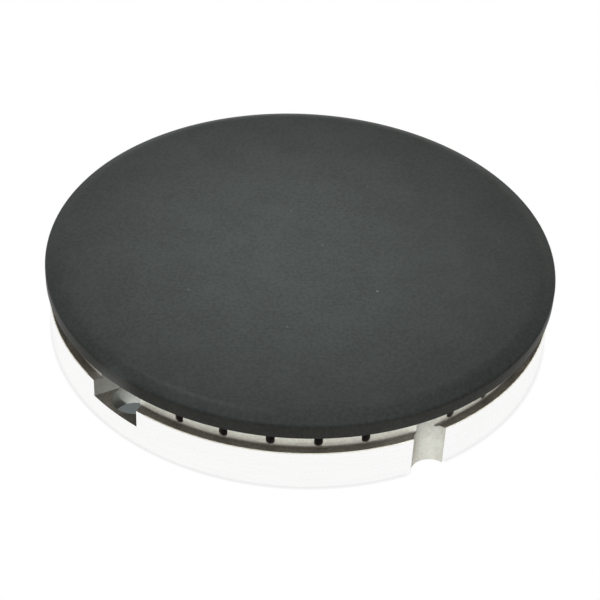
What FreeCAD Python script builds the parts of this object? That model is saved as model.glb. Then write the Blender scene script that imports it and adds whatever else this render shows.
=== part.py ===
import FreeCAD, Part
import math
import os

from FreeCAD import Vector

# A gas hob burner cap seated on its flame spreader. The spreader is one aluminium casting: a skirt
# that stands on the burner cup, a ledge, a ring-shaped wall slotted with flame ports, a deck and a
# throat for the gas. The cap is an enamelled disc that closes the slots from above and only rests
# there. Millimetres, with the origin in the middle of the foot. Azimuths are in degrees from -Y
# towards +X.

# Cap
CAP_RADIUS = 50.0
CAP_SIDE_HEIGHT = 2.75
CAP_BEVEL_WIDTH = 2.75
CAP_BEVEL_DROP = 1.2
CAP_SHOULDER_ROUND = 5.0
CAP_KNEE_BEVEL = 0.5
CAP_RIM_BEVEL = 0.15
CAP_OVERHANG = 0.5
CAP_HOLLOW_DEPTH = 1.0
CAP_HOLLOW_MARGIN = 1.0
CAP_HOLLOW_CORNER = 0.8
LUG_COUNT = 3
LUG_WIDTH = 5.0
LUG_THICKNESS = 2.4
LUG_DROP = 1.8
LUG_CLEARANCE = 0.5

# Spreader: skirt, ledge and port wall
LEDGE_HEIGHT = 8.6
LEDGE_WIDTH = 1.6
LEDGE_CORNER = 0.15
SKIRT_THICKNESS = 2.0
SKIRT_TOP_BEVEL = 0.15
PORT_WALL_HEIGHT = 4.1
PORT_WALL_THICKNESS = 3.0
FOOT_BEVEL = 0.35

# Spreader: deck and throat
DECK_DROP = 1.2
DECK_THICKNESS = 2.4
DECK_CORNER = 1.5
THROAT_RADIUS = 13.0
THROAT_WALL = 2.4
THROAT_FOOT_HEIGHT = 1.0
THROAT_MOUTH_BEVEL = 2.0

# Flame ports: evenly spaced, except where a recess takes their place
PORT_PITCHES = 35
PORT_FIRST_AZIMUTH = 5.7
PORT_WIDTH = 1.6
PORT_SILL = 0.4
PORT_MARGIN = 1.2

# Electrode well: a round shaft just inside the skirt, with a window in the skirt above its sill
WELL_AZIMUTH = -41.8
WELL_RADIUS = 4.1
WELL_HOOP_THICKNESS = 1.0
WELL_WINDOW_WIDTH = 11.6
WELL_WINDOW_DEPTH = 3.9
WELL_WALL = 2.0

# Thermocouple notch: a round groove down the full height of the skirt
NOTCH_AZIMUTH = 30.2
NOTCH_RADIUS = 3.75
NOTCH_DEPTH = 2.25
NOTCH_WALL = 2.0

# A tool that cuts a face reaches this far past it
OVERCUT = 1.0

# Radii and heights that follow from those sizes
skirt_radius = CAP_RADIUS - CAP_OVERHANG
skirt_inner = skirt_radius - SKIRT_THICKNESS
port_wall_radius = skirt_radius - LEDGE_WIDTH
port_wall_inner = port_wall_radius - PORT_WALL_THICKNESS
seat_height = LEDGE_HEIGHT + PORT_WALL_HEIGHT
deck_height = LEDGE_HEIGHT - DECK_DROP
deck_underside = deck_height - DECK_THICKNESS
throat_outer = THROAT_RADIUS + THROAT_WALL
well_centre_radius = skirt_radius - WELL_HOOP_THICKNESS - WELL_RADIUS
notch_centre_radius = skirt_radius - NOTCH_DEPTH + NOTCH_RADIUS
port_pitch = 360.0 / PORT_PITCHES

UP = Vector(0, 0, 1)
ORIGIN = Vector(0, 0, 0)
SAME = 1e-4


def bevelled_path(corners):
    """Edges of an open path in the XZ plane through (radius, height, bevel) corners.

    Each inner corner is cut straight across, a bevel's length from it along both of its runs.
    """
    points = [Vector(radius, 0, height) for radius, height, bevel in corners]
    path = [points[0]]
    for index in range(1, len(corners) - 1):
        corner = points[index]
        bevel = corners[index][2]
        if bevel:
            back = (points[index - 1] - corner).normalize()
            ahead = (points[index + 1] - corner).normalize()
            path.append(corner + back * bevel)
            path.append(corner + ahead * bevel)
        else:
            path.append(corner)
    path.append(points[-1])
    return [Part.makeLine(here, there) for here, there in zip(path, path[1:])]


def revolved(edges):
    """Solid of revolution about Z of the closed profile that the edges make."""
    return Part.Face(Part.Wire(edges)).revolve(ORIGIN, UP, 360)


def rim_edges(solid, radius, height):
    """The circular edges about Z that have a radius and a height."""
    found = []
    for edge in solid.Edges:
        box = edge.BoundBox
        level = box.ZLength < SAME and abs(box.ZMin - height) < SAME
        if level and abs(edge.Length - 2 * math.pi * radius) < SAME:
            found.append(edge)
    return found


def turned(shape, azimuth):
    """Copy of a shape built on the -Y side, turned about Z to an azimuth."""
    copy = shape.copy()
    copy.rotate(ORIGIN, UP, azimuth)
    return copy


def upright_cylinder(radius, centre_radius, azimuth, bottom, top):
    """Vertical cylinder whose axis stands at a distance from Z, towards an azimuth."""
    base = Vector(0, -centre_radius, bottom)
    return turned(Part.makeCylinder(radius, top - bottom, base), azimuth)


def land_azimuth(wanted):
    """Azimuth of the middle of the land between two ports that lies nearest to the one wanted."""
    step = round((wanted - PORT_FIRST_AZIMUTH) / port_pitch - 0.5)
    return PORT_FIRST_AZIMUTH + (step + 0.5) * port_pitch


def cap_lug():
    """One lug under the cap, on the -Y side: an arc of a ring that fits inside the port wall."""
    outer = port_wall_inner - LUG_CLEARANCE
    inner = outer - LUG_THICKNESS
    sweep = math.degrees(LUG_WIDTH / outer)
    height = LUG_DROP + CAP_HOLLOW_DEPTH
    base = Vector(0, 0, seat_height - LUG_DROP)
    lug = Part.makeCylinder(outer, height, base, UP, sweep)
    lug = lug.cut(Part.makeCylinder(inner, height, base, UP))
    return turned(lug, -90 - sweep / 2)


def burner_cap():
    """The cap: a flat disc with a bevelled edge, hollowed inside its seat, on locating lugs."""
    side_top = seat_height + CAP_SIDE_HEIGHT
    top = side_top + CAP_BEVEL_DROP
    shoulder_radius = CAP_RADIUS - CAP_BEVEL_WIDTH
    hollow_radius = well_centre_radius - WELL_RADIUS - WELL_WALL - CAP_HOLLOW_MARGIN
    hollow_top = seat_height + CAP_HOLLOW_DEPTH
    disc = revolved(bevelled_path([
        (0, hollow_top, 0),
        (hollow_radius, hollow_top, CAP_HOLLOW_CORNER),
        (hollow_radius, seat_height, 0),
        (CAP_RADIUS, seat_height, CAP_RIM_BEVEL),
        (CAP_RADIUS, side_top, CAP_KNEE_BEVEL),
        (shoulder_radius, top, 0),
        (0, top, 0),
        (0, hollow_top, 0),
    ]))
    disc = disc.makeFillet(CAP_SHOULDER_ROUND, rim_edges(disc, shoulder_radius, top))
    lug = cap_lug()
    first_lug = WELL_AZIMUTH + 180
    lugs = [turned(lug, land_azimuth(first_lug + k * 360 / LUG_COUNT)) for k in range(LUG_COUNT)]
    return disc.fuse(lugs).removeSplitter()


def well_prism(radius, window_width, bottom, top):
    """The well with its window, between two heights.

    In plan it is a circle whose sides run out, straight and tangent, to the window's two edges on
    the skirt, and on past them.
    """
    centre = Vector(0, -well_centre_radius, 0)
    half_width = window_width / 2
    window_edge = Vector(half_width, -math.sqrt(skirt_radius ** 2 - half_width ** 2), 0)
    outward = window_edge - centre
    bearing = math.atan2(outward.y, outward.x) + math.acos(radius / outward.Length)
    touch = centre + Vector(math.cos(bearing), math.sin(bearing), 0) * radius
    beyond = window_edge + (window_edge - touch)
    back = centre + Vector(0, radius, 0)
    other_touch = Vector(-touch.x, touch.y, 0)
    other_beyond = Vector(-beyond.x, beyond.y, 0)
    outline = Part.Wire([
        Part.makeLine(beyond, touch),
        Part.Arc(touch, back, other_touch).toShape(),
        Part.makeLine(other_touch, other_beyond),
        Part.makeLine(other_beyond, beyond),
    ])
    prism = Part.Face(outline).extrude(UP * (top - bottom))
    prism.translate(UP * bottom)
    return turned(prism, WELL_AZIMUTH)


def port_cutter():
    """One flame port on the -Y side: a radial slot with a round root, open at the top."""
    root = LEDGE_HEIGHT + PORT_SILL
    half_width = PORT_WIDTH / 2
    spring = root + half_width
    top = seat_height + OVERCUT
    front = -port_wall_radius - OVERCUT
    right_top = Vector(half_width, front, top)
    right_spring = Vector(half_width, front, spring)
    left_spring = Vector(-half_width, front, spring)
    left_top = Vector(-half_width, front, top)
    outline = Part.Wire([
        Part.makeLine(right_top, right_spring),
        Part.Arc(right_spring, Vector(0, front, root), left_spring).toShape(),
        Part.makeLine(left_spring, left_top),
        Part.makeLine(left_top, right_top),
    ])
    return Part.Face(outline).extrude(Vector(0, PORT_WALL_THICKNESS + 2 * OVERCUT, 0))


def port_azimuths():
    """Azimuths of the ports, leaving out each that would break into the well or the notch."""
    notch_reach = notch_centre_radius - port_wall_radius
    notch_half_width = math.sqrt(max(NOTCH_RADIUS ** 2 - notch_reach ** 2, 0))
    recesses = [(WELL_AZIMUTH, WELL_WINDOW_WIDTH / 2), (NOTCH_AZIMUTH, notch_half_width)]
    kept = []
    for step in range(PORT_PITCHES):
        azimuth = PORT_FIRST_AZIMUTH + step * port_pitch
        blocked = False
        for recess_azimuth, half_width in recesses:
            turn = math.radians(azimuth - recess_azimuth)
            beside = abs(port_wall_radius * math.sin(turn))
            near = beside < half_width + PORT_MARGIN + PORT_WIDTH / 2
            blocked = blocked or (near and math.cos(turn) > 0)
        if not blocked:
            kept.append(azimuth)
    return kept


def flame_spreader():
    """The spreader: a revolved casting, walled round its well and notch, then cut for them and the ports."""
    body = revolved(bevelled_path([
        (port_wall_radius, seat_height, 0),
        (port_wall_inner, seat_height, 0),
        (port_wall_inner, deck_height, DECK_CORNER),
        (THROAT_RADIUS, deck_height, THROAT_MOUTH_BEVEL),
        (THROAT_RADIUS, THROAT_FOOT_HEIGHT, FOOT_BEVEL),
        (throat_outer, THROAT_FOOT_HEIGHT, FOOT_BEVEL),
        (throat_outer, deck_underside, DECK_CORNER),
        (skirt_inner, deck_underside, DECK_CORNER),
        (skirt_inner, 0, FOOT_BEVEL),
        (skirt_radius, 0, FOOT_BEVEL),
        (skirt_radius, LEDGE_HEIGHT, SKIRT_TOP_BEVEL),
        (port_wall_radius, LEDGE_HEIGHT, LEDGE_CORNER),
        (port_wall_radius, seat_height, 0),
    ]))

    envelope = Part.makeCylinder(skirt_radius, LEDGE_HEIGHT)
    envelope = envelope.fuse(Part.makeCylinder(port_wall_radius, seat_height))
    well_wall = well_prism(WELL_RADIUS + WELL_WALL, WELL_WINDOW_WIDTH + 2 * WELL_WALL, 0, seat_height)
    notch_wall = upright_cylinder(
        NOTCH_RADIUS + NOTCH_WALL, notch_centre_radius, NOTCH_AZIMUTH, 0, deck_height)
    body = body.fuse([well_wall.common(envelope), notch_wall.common(envelope)])

    top = seat_height + OVERCUT
    sill = LEDGE_HEIGHT - WELL_WINDOW_DEPTH
    shaft = upright_cylinder(WELL_RADIUS, well_centre_radius, WELL_AZIMUTH, -OVERCUT, top)
    window = well_prism(WELL_RADIUS, WELL_WINDOW_WIDTH, sill, top)
    notch = upright_cylinder(NOTCH_RADIUS, notch_centre_radius, NOTCH_AZIMUTH, -OVERCUT, top)
    port = port_cutter()
    ports = [turned(port, azimuth) for azimuth in port_azimuths()]
    return body.cut([shaft, window, notch] + ports).removeSplitter()


os.makedirs("parts", exist_ok=True)
burner_cap().exportStep("parts/burner_cap.step")
flame_spreader().exportStep("parts/flame_spreader.step")
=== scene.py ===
import math

import bmesh
import bpy
import numpy as np
from mathutils import Matrix, Vector


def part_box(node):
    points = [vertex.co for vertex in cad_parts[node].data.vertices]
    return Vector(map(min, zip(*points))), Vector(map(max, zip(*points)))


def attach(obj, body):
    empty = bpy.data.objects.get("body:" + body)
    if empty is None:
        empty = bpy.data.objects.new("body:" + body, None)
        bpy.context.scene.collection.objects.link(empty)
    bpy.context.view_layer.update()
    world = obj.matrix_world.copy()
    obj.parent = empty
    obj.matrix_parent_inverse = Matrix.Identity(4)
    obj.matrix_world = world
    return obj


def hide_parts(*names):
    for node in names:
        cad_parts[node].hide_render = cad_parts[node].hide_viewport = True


# The frame: the cap and the spreader that it rests on, in metres, with the origin in the middle of the
# foot. The front is towards -Y, and the spreader's well and notch lie to the left and right of it.
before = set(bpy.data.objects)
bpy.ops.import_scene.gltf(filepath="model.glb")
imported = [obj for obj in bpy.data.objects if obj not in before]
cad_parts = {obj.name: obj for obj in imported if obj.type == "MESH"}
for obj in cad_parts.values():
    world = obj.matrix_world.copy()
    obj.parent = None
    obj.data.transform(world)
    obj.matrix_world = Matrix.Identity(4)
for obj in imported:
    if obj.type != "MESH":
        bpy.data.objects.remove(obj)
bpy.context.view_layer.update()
MM = 0.001


# Flame spreader: one aluminium casting that stands on the burner cup, with a skirt, a ledge and a wall
# slotted with flame ports. Its outside is turned on a lathe, and the well, the notch, the deck and the
# underside are left as they came out of the mould.
class Channel:
    """One socket of a tree of nodes. Arithmetic on it adds Math nodes, and node() adds any other node."""

    def __init__(self, tree, socket=None):
        self.tree = tree
        self.socket = socket

    def node(self, kind, settings=None, sockets=None, output=0):
        """Adds a node: its settings first, then a value or a link on each input. Gives one output."""
        made = self.tree.nodes.new(kind)
        for name, value in (settings or {}).items():
            setattr(made, name, value)
        for name, value in (sockets or {}).items():
            if isinstance(value, Channel):
                self.tree.links.new(value.socket, made.inputs[name])
            else:
                made.inputs[name].default_value = value
        return Channel(self.tree, made.outputs[output])

    def maths(self, operation, *values):
        """A Math node on numbers and channels."""
        return self.node("ShaderNodeMath", {"operation": operation}, dict(enumerate(values)))

    def vector(self, operation, *values):
        """A Vector Math node: a number from a length, distance or dot product, or else a vector."""
        single = operation in ("LENGTH", "DISTANCE", "DOT_PRODUCT")
        sockets = dict(enumerate(values))
        return self.node("ShaderNodeVectorMath", {"operation": operation}, sockets, 1 if single else 0)

    def part(self, axis):
        """One part of this vector: X, Y or Z."""
        return self.node("ShaderNodeSeparateXYZ", None, {0: self}, axis)

    def __add__(self, other):
        return self.maths("ADD", self, other)

    def __radd__(self, other):
        return self.maths("ADD", other, self)

    def __sub__(self, other):
        return self.maths("SUBTRACT", self, other)

    def __rsub__(self, other):
        return self.maths("SUBTRACT", other, self)

    def __mul__(self, other):
        return self.maths("MULTIPLY", self, other)

    def __rmul__(self, other):
        return self.maths("MULTIPLY", other, self)

    def ramp(self, low, high):
        """0 up to the low value, 1 from the high one, and a smooth step between them."""
        settings = {"interpolation_type": "SMOOTHSTEP"}
        sockets = {"Value": self, "From Min": low, "From Max": high}
        return self.node("ShaderNodeMapRange", settings, sockets)

    def between(self, first, second):
        """The first colour where this value is 0, the second where it is 1."""
        settings = {"data_type": "RGBA"}
        sockets = {"Factor": self, 6: first, 7: second}
        return self.node("ShaderNodeMix", settings, sockets, 2)

    def noise(self, place, size, detail=2.0):
        """Noise from 0 to 1, with lumps of about one size, in metres."""
        sockets = {"Vector": place, "Scale": 1 / size, "Detail": detail}
        return self.node("ShaderNodeTexNoise", None, sockets)

    def bump(self, height, depth):
        """Normal of a surface that a height, from 0 to 1, raises by up to a depth in metres."""
        sockets = {"Height": height, "Distance": depth, "Strength": 1.0}
        return self.node("ShaderNodeBump", None, sockets)


def new_finish(name):
    """A material with one Principled shader: the material, its tree's first channel and the shader."""
    material = bpy.data.materials.new(name)
    material.use_nodes = True
    tree = material.node_tree
    tree.nodes.clear()
    shader = tree.nodes.new("ShaderNodeBsdfPrincipled")
    output = tree.nodes.new("ShaderNodeOutputMaterial")
    tree.links.new(shader.outputs[0], output.inputs["Surface"])
    return material, Channel(tree), shader


def join(channel, node, socket):
    """Links a channel to an input of a node."""
    channel.tree.links.new(channel.socket, node.inputs[socket])


spreader_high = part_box("flame_spreader")[1]
SKIRT_RADIUS = spreader_high.x
LEDGE_HEIGHT = 8.6 * MM
PORT_WALL_RADIUS = 47.9 * MM
WALL_FOOT = 0.6 * MM
NOTCH_AXIS = (25.65 * MM, -44.08 * MM, 0)
NOTCH_RADIUS = 3.75 * MM
WELL_AXIS = (-29.59 * MM, -33.10 * MM, 0)
WELL_RADIUS = 4.1 * MM
WINDOW_REACH = WELL_RADIUS + 4.0 * MM
WELL_SILL = 4.7 * MM
SILL_REACH = 9.0 * MM
DECK_HEIGHT = 7.4 * MM

# One finish gives way to the next over hairs of this width, and by these cosines of a face's slope
HAIR = 0.1 * MM
FACES_OUT = (0.90, 0.97)
FACES_UP = (0.80, 0.95)
FACES_PAST_DOWN = (-0.9, -0.5)

CAST_DARK = (0.71, 0.70, 0.64, 1)
CAST_PALE = (0.81, 0.81, 0.745, 1)
TURNED_DARK = (0.955, 0.955, 0.95, 1)
TURNED_PALE = (0.975, 0.975, 0.97, 1)
# Painted shade: the dark colour of the ledge, the sill and the foot of the port wall, under the cap
LEDGE_SHADE_DARK = (0.180, 0.169, 0.147, 1)
LEDGE_SHADE_PALE = (0.236, 0.223, 0.197, 1)
# Painted shade: the dark colour of the gas chamber and the ports, closed under the cap
CHAMBER_SHADE = (0.20, 0.19, 0.18, 1)
# Painted shade: how much darker the well's cast colour is made for the shade inside it
WELL_SHADE_TINT = (0.38, 0.38, 0.38)
CAST_MATT = 0.8
DULL_MATT = 0.9
CAST_ROUGH = 0.65
NOTCH_ROUGH = 0.50
WELL_ROUGH = 0.40
TURNED_ROUGH = 0.28
DULL_ROUGH = 0.60
GRAIN_ROUGH = 0.06
METAL_SPECULAR = 0.15
CAST_GRAIN = 0.55 * MM
CAST_GRAIN_SHARE = 0.6
CAST_BLOTCH = 2.2 * MM
CAST_SPREAD = (0.35, 0.65)
CAST_RELIEF = 0.03 * MM
NOISE_SPREAD = (0.3, 0.7)
LATHE_LINE = 0.25 * MM
LATHE_STRETCH = (0.03, 0.03, 1)
LATHE_RELIEF = 0.03
GRAIN_TURNED_OFF = 0.95


def spreader_regions(sheet, place):
    """Masks, from 0 to 1, of the spreader's differently finished places, some of them also painted with
    shade.

    They come from a point's height, its distance from the axes of the disc, the well and the notch, and
    the way that the face looks there.
    """
    normal = sheet.node("ShaderNodeNewGeometry", output="Normal")
    height = place.part("Z")
    upward = normal.part("Z")
    plan = sheet.vector("MULTIPLY", place, (1, 1, 0))
    radius = sheet.vector("LENGTH", plan)
    from_well = sheet.vector("DISTANCE", plan, WELL_AXIS)
    from_notch = sheet.vector("DISTANCE", plan, NOTCH_AXIS)
    outward = sheet.vector("DOT_PRODUCT", normal, sheet.vector("NORMALIZE", plan)).ramp(*FACES_OUT)
    outside = radius.ramp(PORT_WALL_RADIUS - 3 * HAIR, PORT_WALL_RADIUS - HAIR)
    past_ports = radius.ramp(PORT_WALL_RADIUS - 2 * HAIR, PORT_WALL_RADIUS)
    above_ledge = height.ramp(LEDGE_HEIGHT - 3 * HAIR, LEDGE_HEIGHT - 2 * HAIR)
    below_ledge = 1 - height.ramp(LEDGE_HEIGHT + 2 * HAIR, LEDGE_HEIGHT + 3 * HAIR)
    above_sill = height.ramp(WELL_SILL - 2 * HAIR, WELL_SILL - HAIR)

    skirt = radius.ramp(SKIRT_RADIUS - 3 * HAIR, SKIRT_RADIUS - HAIR) * outward
    sill = above_sill * (1 - above_ledge) * (1 - from_well.ramp(SILL_REACH, SILL_REACH + 5 * HAIR))
    flat = (above_ledge * below_ledge * past_ports + sill) * upward.ramp(*FACES_UP)
    # Painted shade also darkens the foot of the port wall, in the crease over the ledge
    foot = 1 - height.ramp(LEDGE_HEIGHT, LEDGE_HEIGHT + WALL_FOOT)
    foot = foot * (1 - radius.ramp(PORT_WALL_RADIUS + 2 * HAIR, PORT_WALL_RADIUS + 3 * HAIR))
    ledge = sheet.maths("MAXIMUM", flat, foot * above_ledge * past_ports)
    notch = 1 - from_notch.ramp(NOTCH_RADIUS + 0.2 * HAIR, NOTCH_RADIUS + 0.5 * HAIR)
    bore = 1 - from_well.ramp(WELL_RADIUS + HAIR, WELL_RADIUS + 3 * HAIR)
    window = 1 - from_well.ramp(WINDOW_REACH, WINDOW_REACH + 2 * HAIR)
    window = window * above_sill * upward.ramp(*FACES_PAST_DOWN)
    well = sheet.maths("MAXIMUM", bore, window) * (1 - outward * outside)
    chamber = height.ramp(DECK_HEIGHT - HAIR, DECK_HEIGHT) * (1 - well) * (1 - notch) * (1 - outside)
    return skirt, ledge, sill, notch, well, chamber


def spreader_aluminium():
    """Bare aluminium: bright on the turned skirt, and matt and grainy where it is cast.

    The ledge and the foot of the port wall are matt, and they and the sill are painted dark
    for the shade under the cap. The well's cast skin is painted darker for the shade inside it,
    and the gas chamber and the ports are painted dark for the shade under the cap.
    """
    material, sheet, shader = new_finish("cast_aluminium")
    place = sheet.node("ShaderNodeTexCoord", output="Object")
    skirt, ledge, sill, notch, well, chamber = spreader_regions(sheet, place)
    grain = sheet.noise(place, CAST_GRAIN, detail=3.0)
    blotch = sheet.noise(place, CAST_BLOTCH)
    lines = sheet.noise(sheet.vector("MULTIPLY", place, LATHE_STRETCH), LATHE_LINE, detail=1.0)

    mottle = CAST_GRAIN_SHARE * grain + (1 - CAST_GRAIN_SHARE) * blotch
    cast = mottle.ramp(*CAST_SPREAD).between(CAST_DARK, CAST_PALE)
    # Painted shade: the well's cast colour is darkened for the shade inside it
    cast = well.between(cast, sheet.vector("MULTIPLY", cast, WELL_SHADE_TINT))
    bright = lines.ramp(*NOISE_SPREAD).between(TURNED_DARK, TURNED_PALE)
    # Painted shade: the ledge, the sill and the wall's foot are coloured dark for the shade under the cap
    painted_ledge_shade = grain.ramp(*NOISE_SPREAD).between(LEDGE_SHADE_DARK, LEDGE_SHADE_PALE)
    metal = ledge.between(skirt.between(cast, bright), painted_ledge_shade)
    # Painted shade: the gas chamber and the inside of the ports are coloured dark for the shade under the cap
    join(chamber.between(metal, CHAMBER_SHADE), shader, "Base Color")

    rough = CAST_ROUGH + (NOTCH_ROUGH - CAST_ROUGH) * notch + (DULL_ROUGH - CAST_ROUGH) * ledge
    rough = rough + (WELL_ROUGH - CAST_ROUGH) * well * (1 - ledge)
    rough = rough + (TURNED_ROUGH - CAST_ROUGH) * skirt * (1 - notch)
    join(rough + GRAIN_ROUGH * (grain - 0.5), shader, "Roughness")
    matt = CAST_MATT * (well + notch) * (1 - ledge) + DULL_MATT * ledge * (1 - sill)
    join(1 - matt, shader, "Metallic")
    relief = grain * (1 - GRAIN_TURNED_OFF * skirt) + LATHE_RELIEF * lines * skirt
    join(sheet.bump(relief, CAST_RELIEF), shader, "Normal")
    shader.inputs["Specular IOR Level"].default_value = METAL_SPECULAR
    return material


SPREADER_SHARP_ANGLE = math.radians(25)
SPREADER_WELD = 0.001 * MM
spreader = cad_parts["flame_spreader"]
spreader.data.polygons.foreach_set("use_smooth", np.ones(len(spreader.data.polygons), bool))
weld = spreader.modifiers.new("weld", "WELD")
weld.merge_threshold = SPREADER_WELD
split = spreader.modifiers.new("edges", "EDGE_SPLIT")
split.split_angle = SPREADER_SHARP_ANGLE
spreader.data.materials.clear()
spreader.data.materials.append(spreader_aluminium())


# Burner cap: a pressed steel disc under matt black vitreous enamel, with a bevel round its edge. Three
# lugs below it locate it inside the port wall, on which it only rests.
cap_low, cap_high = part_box("burner_cap")
cap_radius = cap_high.x
seat = spreader_high.z
LUG_INNER = 42.0 * MM
LUG_OUTER = 44.4 * MM
LUG_WIDTH = 5.0 * MM
LUG_AZIMUTHS = (21.13, 134.27, 257.70)
HOLLOW_RADIUS = 37.3 * MM
HOLLOW_DEPTH = 1.0 * MM
HOLLOW_ROUND = 0.8 * MM
SEAT_ROUND = 0.2 * MM
RIM_ROUND = 0.15 * MM
SIDE_HEIGHT = 2.75 * MM
SIDE_ROUND = 0.8 * MM
BEVEL_WIDTH = 2.75 * MM
SHOULDER_ROUND = 5.0 * MM
CAP_TURNS = 480
CAP_SHARP_ANGLE = math.radians(40)
ROUND_STEPS = 10
NUDGE = 1e-7
MERGE = 0.0001 * MM


def rounded_profile(corners):
    """(radius, height) points of a profile through (radius, height, round) corners.

    At each corner with a round, an arc of that radius runs from a point on the run before it to one on
    the run after it, both at round / tan(half the corner's angle) from the corner.
    """
    corners = np.array(corners, float)
    points = [corners[:1, :2]]
    for before, here, after in zip(corners[:-2], corners[1:-1], corners[2:]):
        back = (before - here)[:2] / np.linalg.norm((before - here)[:2])
        ahead = (after - here)[:2] / np.linalg.norm((after - here)[:2])
        half = np.arccos(np.clip(back @ ahead, -1, 1)) / 2
        bisector = (back + ahead) / np.linalg.norm(back + ahead)
        centre = here[:2] + bisector * here[2] / np.sin(half)
        sweep = np.linspace(half - np.pi / 2, np.pi / 2 - half, ROUND_STEPS)[:, None]
        across = ahead - bisector * (ahead @ bisector)
        across = across / np.linalg.norm(across)
        arc = centre + here[2] * (np.sin(sweep) * across - np.cos(sweep) * bisector)
        points.append(arc)
    points.append(corners[-1:, :2])
    return np.concatenate(points)


def cap_mesh(hollow, disc):
    """The cap's profile carried round Z: x = r sin(a), y = -r cos(a), with a from 0 to a full turn.

    The lugs' run lies between the hollow's profile and the disc's, level with the seat except on a lug,
    where it is lower by the lug's drop. Each side of a lug is two stations of a, a nudge apart.
    """
    lug_run = [(LUG_INNER, seat), (LUG_OUTER, seat)]
    radius, height = np.concatenate([hollow, lug_run, disc]).T
    drop = np.zeros(len(radius))
    drop[len(hollow):len(hollow) + len(lug_run)] = seat - cap_low.z
    middles = np.radians(LUG_AZIMUTHS)
    half = LUG_WIDTH / LUG_OUTER / 2
    sides = np.concatenate([middles - half, middles + half])
    even = np.arange(CAP_TURNS) * 2 * np.pi / CAP_TURNS
    angle = np.sort(np.concatenate([even, sides - NUDGE, sides + NUDGE]))
    on_lug = (np.abs(angle[:, None] - middles) < half).any(1)
    shell = np.stack([
        np.outer(radius, np.sin(angle)),
        np.outer(radius, -np.cos(angle)),
        height[:, None] - np.outer(drop, on_lug),
    ], -1)
    index = np.arange(shell[..., 0].size).reshape(shell.shape[:2])
    ahead = np.roll(index, -1, axis=1)
    faces = np.stack([index[:-1], ahead[:-1], ahead[1:], index[1:]], -1).reshape(-1, 4)
    mesh = bpy.data.meshes.new("enamelled_cap")
    mesh.from_pydata(shell.reshape(-1, 3), [], faces)
    return mesh


def closed(mesh):
    """Merges a mesh's doubled points, turns its faces outwards and shades it smooth between edges."""
    work = bmesh.new()
    work.from_mesh(mesh)
    bmesh.ops.remove_doubles(work, verts=work.verts, dist=MERGE)
    bmesh.ops.dissolve_degenerate(work, edges=work.edges, dist=MERGE)
    bmesh.ops.recalc_face_normals(work, faces=work.faces)
    work.to_mesh(mesh)
    work.free()
    mesh.shade_smooth()
    mesh.set_sharp_from_angle(angle=CAP_SHARP_ANGLE)
    return mesh


ENAMEL_DARK = (0.043, 0.048, 0.047, 1)
ENAMEL_PALE = (0.062, 0.069, 0.067, 1)
ENAMEL_FLECK = (0.15, 0.155, 0.15, 1)
SIDE_TINT = (1.25, 1.15, 1.10)
FACES_SLOPING = (0.2, 0.5)
ENAMEL_GRAIN = 0.6 * MM
ENAMEL_GRAIN_SHARE = 0.7
ENAMEL_CLOUD = 9 * MM
ENAMEL_RELIEF = 0.01 * MM
ENAMEL_ROUGH = 0.38
ENAMEL_GRAIN_ROUGH = 0.08
ENAMEL_SPECULAR = 0.045

# Specks on the cap's top: across and back from its middle in millimetres, and radius
LARGE_FLECK = 0.37 * MM
SMALL_FLECK = 0.20 * MM
FLECK_CORE = 0.4
FLECKS = [
    (14.9, -12.4, LARGE_FLECK),
    (-1.8, -24.3, SMALL_FLECK),
    (39.1, 5.4, SMALL_FLECK),
    (-21.0, -14.8, SMALL_FLECK),
    (13.0, 21.8, SMALL_FLECK),
    (-2.4, 12.2, SMALL_FLECK),
    (4.1, 1.3, SMALL_FLECK),
]


def matt_enamel():
    """Matt black enamel: a fine sandy skin, slightly green, and paler on the upright side.

    A few pale specks of grit are fired into its top.
    """
    material, sheet, shader = new_finish("matt_enamel")
    place = sheet.node("ShaderNodeTexCoord", output="Object")
    normal = sheet.node("ShaderNodeNewGeometry", output="Normal")
    grain = sheet.noise(place, ENAMEL_GRAIN, detail=3.0)
    cloud = sheet.noise(place, ENAMEL_CLOUD)
    mottle = ENAMEL_GRAIN_SHARE * grain + (1 - ENAMEL_GRAIN_SHARE) * cloud
    skin = mottle.ramp(*NOISE_SPREAD).between(ENAMEL_DARK, ENAMEL_PALE)
    side = 1 - sheet.maths("ABSOLUTE", normal.part("Z")).ramp(*FACES_SLOPING)
    skin = side.between(skin, sheet.vector("MULTIPLY", skin, SIDE_TINT))
    fleck = 0
    for x, y, fleck_radius in FLECKS:
        away = sheet.vector("DISTANCE", place, (x * MM, y * MM, cap_high.z))
        fleck = fleck + (1 - away.ramp(FLECK_CORE * fleck_radius, fleck_radius))
    join(fleck.between(skin, ENAMEL_FLECK), shader, "Base Color")
    join(ENAMEL_ROUGH + ENAMEL_GRAIN_ROUGH * grain, shader, "Roughness")
    join(sheet.bump(grain, ENAMEL_RELIEF), shader, "Normal")
    shader.inputs["Specular IOR Level"].default_value = ENAMEL_SPECULAR
    return material


hollow_profile = rounded_profile([
    (0, seat + HOLLOW_DEPTH, 0),
    (HOLLOW_RADIUS, seat + HOLLOW_DEPTH, HOLLOW_ROUND),
    (HOLLOW_RADIUS, seat, SEAT_ROUND),
    (LUG_INNER, seat, 0),
])
disc_profile = rounded_profile([
    (LUG_OUTER, seat, 0),
    (cap_radius, seat, RIM_ROUND),
    (cap_radius, seat + SIDE_HEIGHT, SIDE_ROUND),
    (cap_radius - BEVEL_WIDTH, cap_high.z, SHOULDER_ROUND),
    (0, cap_high.z, 0),
])
cap = bpy.data.objects.new("enamelled_cap", closed(cap_mesh(hollow_profile, disc_profile)))
bpy.context.scene.collection.objects.link(cap)
cap.data.materials.append(matt_enamel())
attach(cap, "root")
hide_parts("burner_cap")


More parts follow.
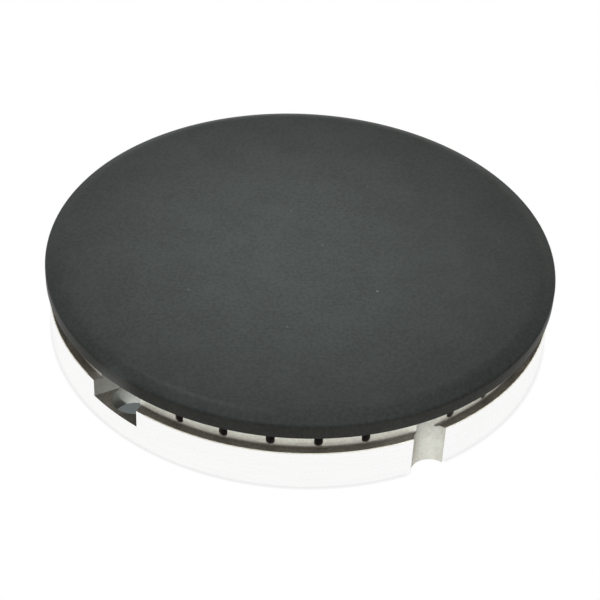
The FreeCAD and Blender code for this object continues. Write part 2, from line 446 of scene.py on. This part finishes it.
# Floor: a white table top. It glows evenly white in the open, faintly grey in a painted contact shadow where
# the foot meets it, and dark grey in painted shade under the spreader, where the well shows it. Light that
# falls on it meets pale paint.
FLOOR_HALF = 3.0
OPEN_TABLE = (1, 1, 1, 1)
SHADED_TABLE = (0.13, 0.145, 0.145, 1)
CONTACT_SHADOW_TABLE = (0.86, 0.86, 0.86, 1)
TABLE_PAINT = (0.8, 0.8, 0.8, 1)
TABLE_ROUGH = 0.9
SHADE_RADIUS = 46.9 * MM
CONTACT_WIDTH = 0.6 * MM
CONTACT_GAP = 1.0 * MM
corner = np.array([[-1, -1], [1, -1], [1, 1], [-1, 1]]) * FLOOR_HALF
floor_mesh = bpy.data.meshes.new("floor")
floor_mesh.from_pydata(np.c_[corner, np.zeros(4)], [], [(0, 1, 2, 3)])
floor = bpy.data.objects.new("floor", floor_mesh)
bpy.context.scene.collection.objects.link(floor)


def white_table():
    """Emission for camera rays and, in the open, for glossy and transmission rays, and paint for the rest."""
    material, sheet, shader = new_finish("white_table")
    shader.inputs["Base Color"].default_value = TABLE_PAINT
    shader.inputs["Roughness"].default_value = TABLE_ROUGH
    place = sheet.node("ShaderNodeTexCoord", output="Object")
    away = sheet.vector("LENGTH", place)
    from_notch = sheet.vector("DISTANCE", place, NOTCH_AXIS)
    in_open = away.ramp(SHADE_RADIUS, SHADE_RADIUS + 3 * HAIR)
    # Painted contact shadow: a faint grey ring on the table round the skirt's foot
    contact_shadow = 1 - away.ramp(SKIRT_RADIUS - HAIR, SKIRT_RADIUS + CONTACT_WIDTH)
    contact_shadow = contact_shadow * from_notch.ramp(NOTCH_RADIUS, NOTCH_RADIUS + CONTACT_GAP)
    camera_ray = sheet.node("ShaderNodeLightPath", output="Is Camera Ray")
    glossy_ray = sheet.node("ShaderNodeLightPath", output="Is Glossy Ray")
    transmission_ray = sheet.node("ShaderNodeLightPath", output="Is Transmission Ray")
    seen = sheet.maths("MAXIMUM", glossy_ray, transmission_ray) * in_open
    seen = sheet.maths("MAXIMUM", camera_ray, seen)
    # Painted shade under the spreader, and the painted contact shadow round the foot
    tone = in_open.between(SHADED_TABLE, contact_shadow.between(OPEN_TABLE, CONTACT_SHADOW_TABLE))
    glow = sheet.node("ShaderNodeEmission", None, {"Color": tone})
    paint = Channel(sheet.tree, shader.outputs[0])
    mixed = sheet.node("ShaderNodeMixShader", None, {0: seen, 1: paint, 2: glow})
    output = [node for node in sheet.tree.nodes if node.type == "OUTPUT_MATERIAL"][0]
    join(mixed, output, "Surface")
    return material


floor_mesh.materials.append(white_table())


# Light: a soft pool of light on the cap from above and behind on the left, panels in front and above, and a
# small pool each on the well and the notch. The room is dim. Reflections also show a pale band round it, a
# window behind and a pale ceiling.
WARM = (1.0, 0.975, 0.93)
COOL = (0.96, 1.0, 1.0)
ROOM_STRENGTH = 0.12
PALE_STRENGTH = 4.0
BAND_LEFT = 0.47
BAND_RIGHT = 0.72
WINDOW_SHARE = 0.58


def aimed(name, data, place, aim):
    """A lamp at a place, turned to face a point."""
    lamp = bpy.data.objects.new(name, data)
    lamp.location = place
    lamp.rotation_euler = (Vector(aim) - Vector(place)).to_track_quat("-Z", "Y").to_euler()
    bpy.context.scene.collection.objects.link(lamp)


def panel(name, place, width, height, power):
    """A flat rectangular lamp, slightly warm, that faces the middle of the cap."""
    data = bpy.data.lights.new(name, "AREA")
    data.color = WARM
    data.shape = "RECTANGLE"
    data.size = width
    data.size_y = height
    data.energy = power
    aimed(name, data, place, (0, 0, cap_high.z))


def pool(name, place, aim, radius, power):
    """A spot lamp, slightly cool, whose light fades evenly from the point that it faces out to a radius."""
    data = bpy.data.lights.new(name, "SPOT")
    data.color = COOL
    data.spot_size = 2 * math.atan(radius / (Vector(aim) - Vector(place)).length)
    data.spot_blend = 1.0
    data.shadow_soft_size = radius / 2
    data.energy = power
    aimed(name, data, place, aim)


def stretch(value, start, full, fading, end):
    """1 from full to fading, and a smooth step to 0 at start and at end."""
    return value.ramp(start, full) * (1 - value.ramp(fading, end))


pool("key_lamp", (-0.13, 0.15, 0.50), aim=(-0.003, -0.0035, cap_high.z), radius=0.0625, power=11.9)
panel("front_panel", (0, -0.60, 0.12), width=0.8, height=0.15, power=0.44)
pool("well_lamp", (-0.161, -0.389, 0.323), aim=(-0.0306, -0.0292, 0.0010), radius=0.006, power=19.5)
pool("notch_lamp", (-0.094, -0.479, 0.215), aim=(0.0238, -0.0408, 0.004), radius=0.008, power=4.9)
panel("top_panel", (0, -0.25, 0.55), width=0.3, height=0.3, power=0.50)
world = bpy.data.worlds.new("room")
world.use_nodes = True
world.node_tree.nodes.clear()
air = Channel(world.node_tree)
dim_room = air.node("ShaderNodeBackground", None, {"Color": (*WARM, 1), "Strength": ROOM_STRENGTH})
pale_room = air.node("ShaderNodeBackground", None, {"Color": (*WARM, 1), "Strength": PALE_STRENGTH})
towards = air.node("ShaderNodeTexCoord", output="Generated")
across = towards.part("X")
behind = towards.part("Y")
rise = towards.part("Z")
band = BAND_LEFT + (BAND_RIGHT - BAND_LEFT) * across.ramp(0.0, 0.4)
band = band * stretch(rise, start=0.15, full=0.30, fading=0.45, end=0.62)
window = WINDOW_SHARE * stretch(rise, start=0.45, full=0.55, fading=0.78, end=0.88)
window = window * stretch(across, start=-0.35, full=-0.15, fading=0.15, end=0.35) * behind.ramp(0.0, 0.1)
ceiling = rise.ramp(0.90, 0.97)
pale = air.maths("MAXIMUM", air.maths("MAXIMUM", band, window), ceiling)
pale = pale * air.node("ShaderNodeLightPath", output="Is Glossy Ray")
room = air.node("ShaderNodeMixShader", None, {0: pale, 1: dim_room, 2: pale_room})
join(room, world.node_tree.nodes.new("ShaderNodeOutputWorld"), "Surface")
bpy.context.scene.world = world


# Camera: it looks at the front from about 40 degrees above the table, rolled slightly. Its shift puts the
# middle of the foot at the pixel where the photograph has it.
CAMERA_ELEVATION = math.radians(39.561)
CAMERA_ROLL = math.radians(2.875)
CAMERA_DISTANCE = 0.350
CAMERA_LENS = 103.75
CAMERA_NEAR = 0.01
PICTURE = 600
FOOT_CENTRE_PIXEL = (298.17, 313.16)
back = Vector((0, -math.cos(CAMERA_ELEVATION), math.sin(CAMERA_ELEVATION)))
level = Vector((1, 0, 0))
upward = Vector((0, math.sin(CAMERA_ELEVATION), math.cos(CAMERA_ELEVATION)))
right = math.cos(CAMERA_ROLL) * level + math.sin(CAMERA_ROLL) * upward
up = math.cos(CAMERA_ROLL) * upward - math.sin(CAMERA_ROLL) * level
eye = back * CAMERA_DISTANCE
camera = bpy.data.objects.new("camera", bpy.data.cameras.new("camera"))
camera.matrix_world = Matrix((
    (right.x, up.x, back.x, eye.x),
    (right.y, up.y, back.y, eye.y),
    (right.z, up.z, back.z, eye.z),
    (0, 0, 0, 1),
))
camera.data.lens = CAMERA_LENS
camera.data.clip_start = CAMERA_NEAR
camera.data.shift_x = (PICTURE / 2 - FOOT_CENTRE_PIXEL[0]) / PICTURE
camera.data.shift_y = (FOOT_CENTRE_PIXEL[1] - PICTURE / 2) / PICTURE
bpy.context.scene.collection.objects.link(camera)
bpy.context.scene.camera = camera
bpy.context.scene.view_settings.view_transform = "Standard"
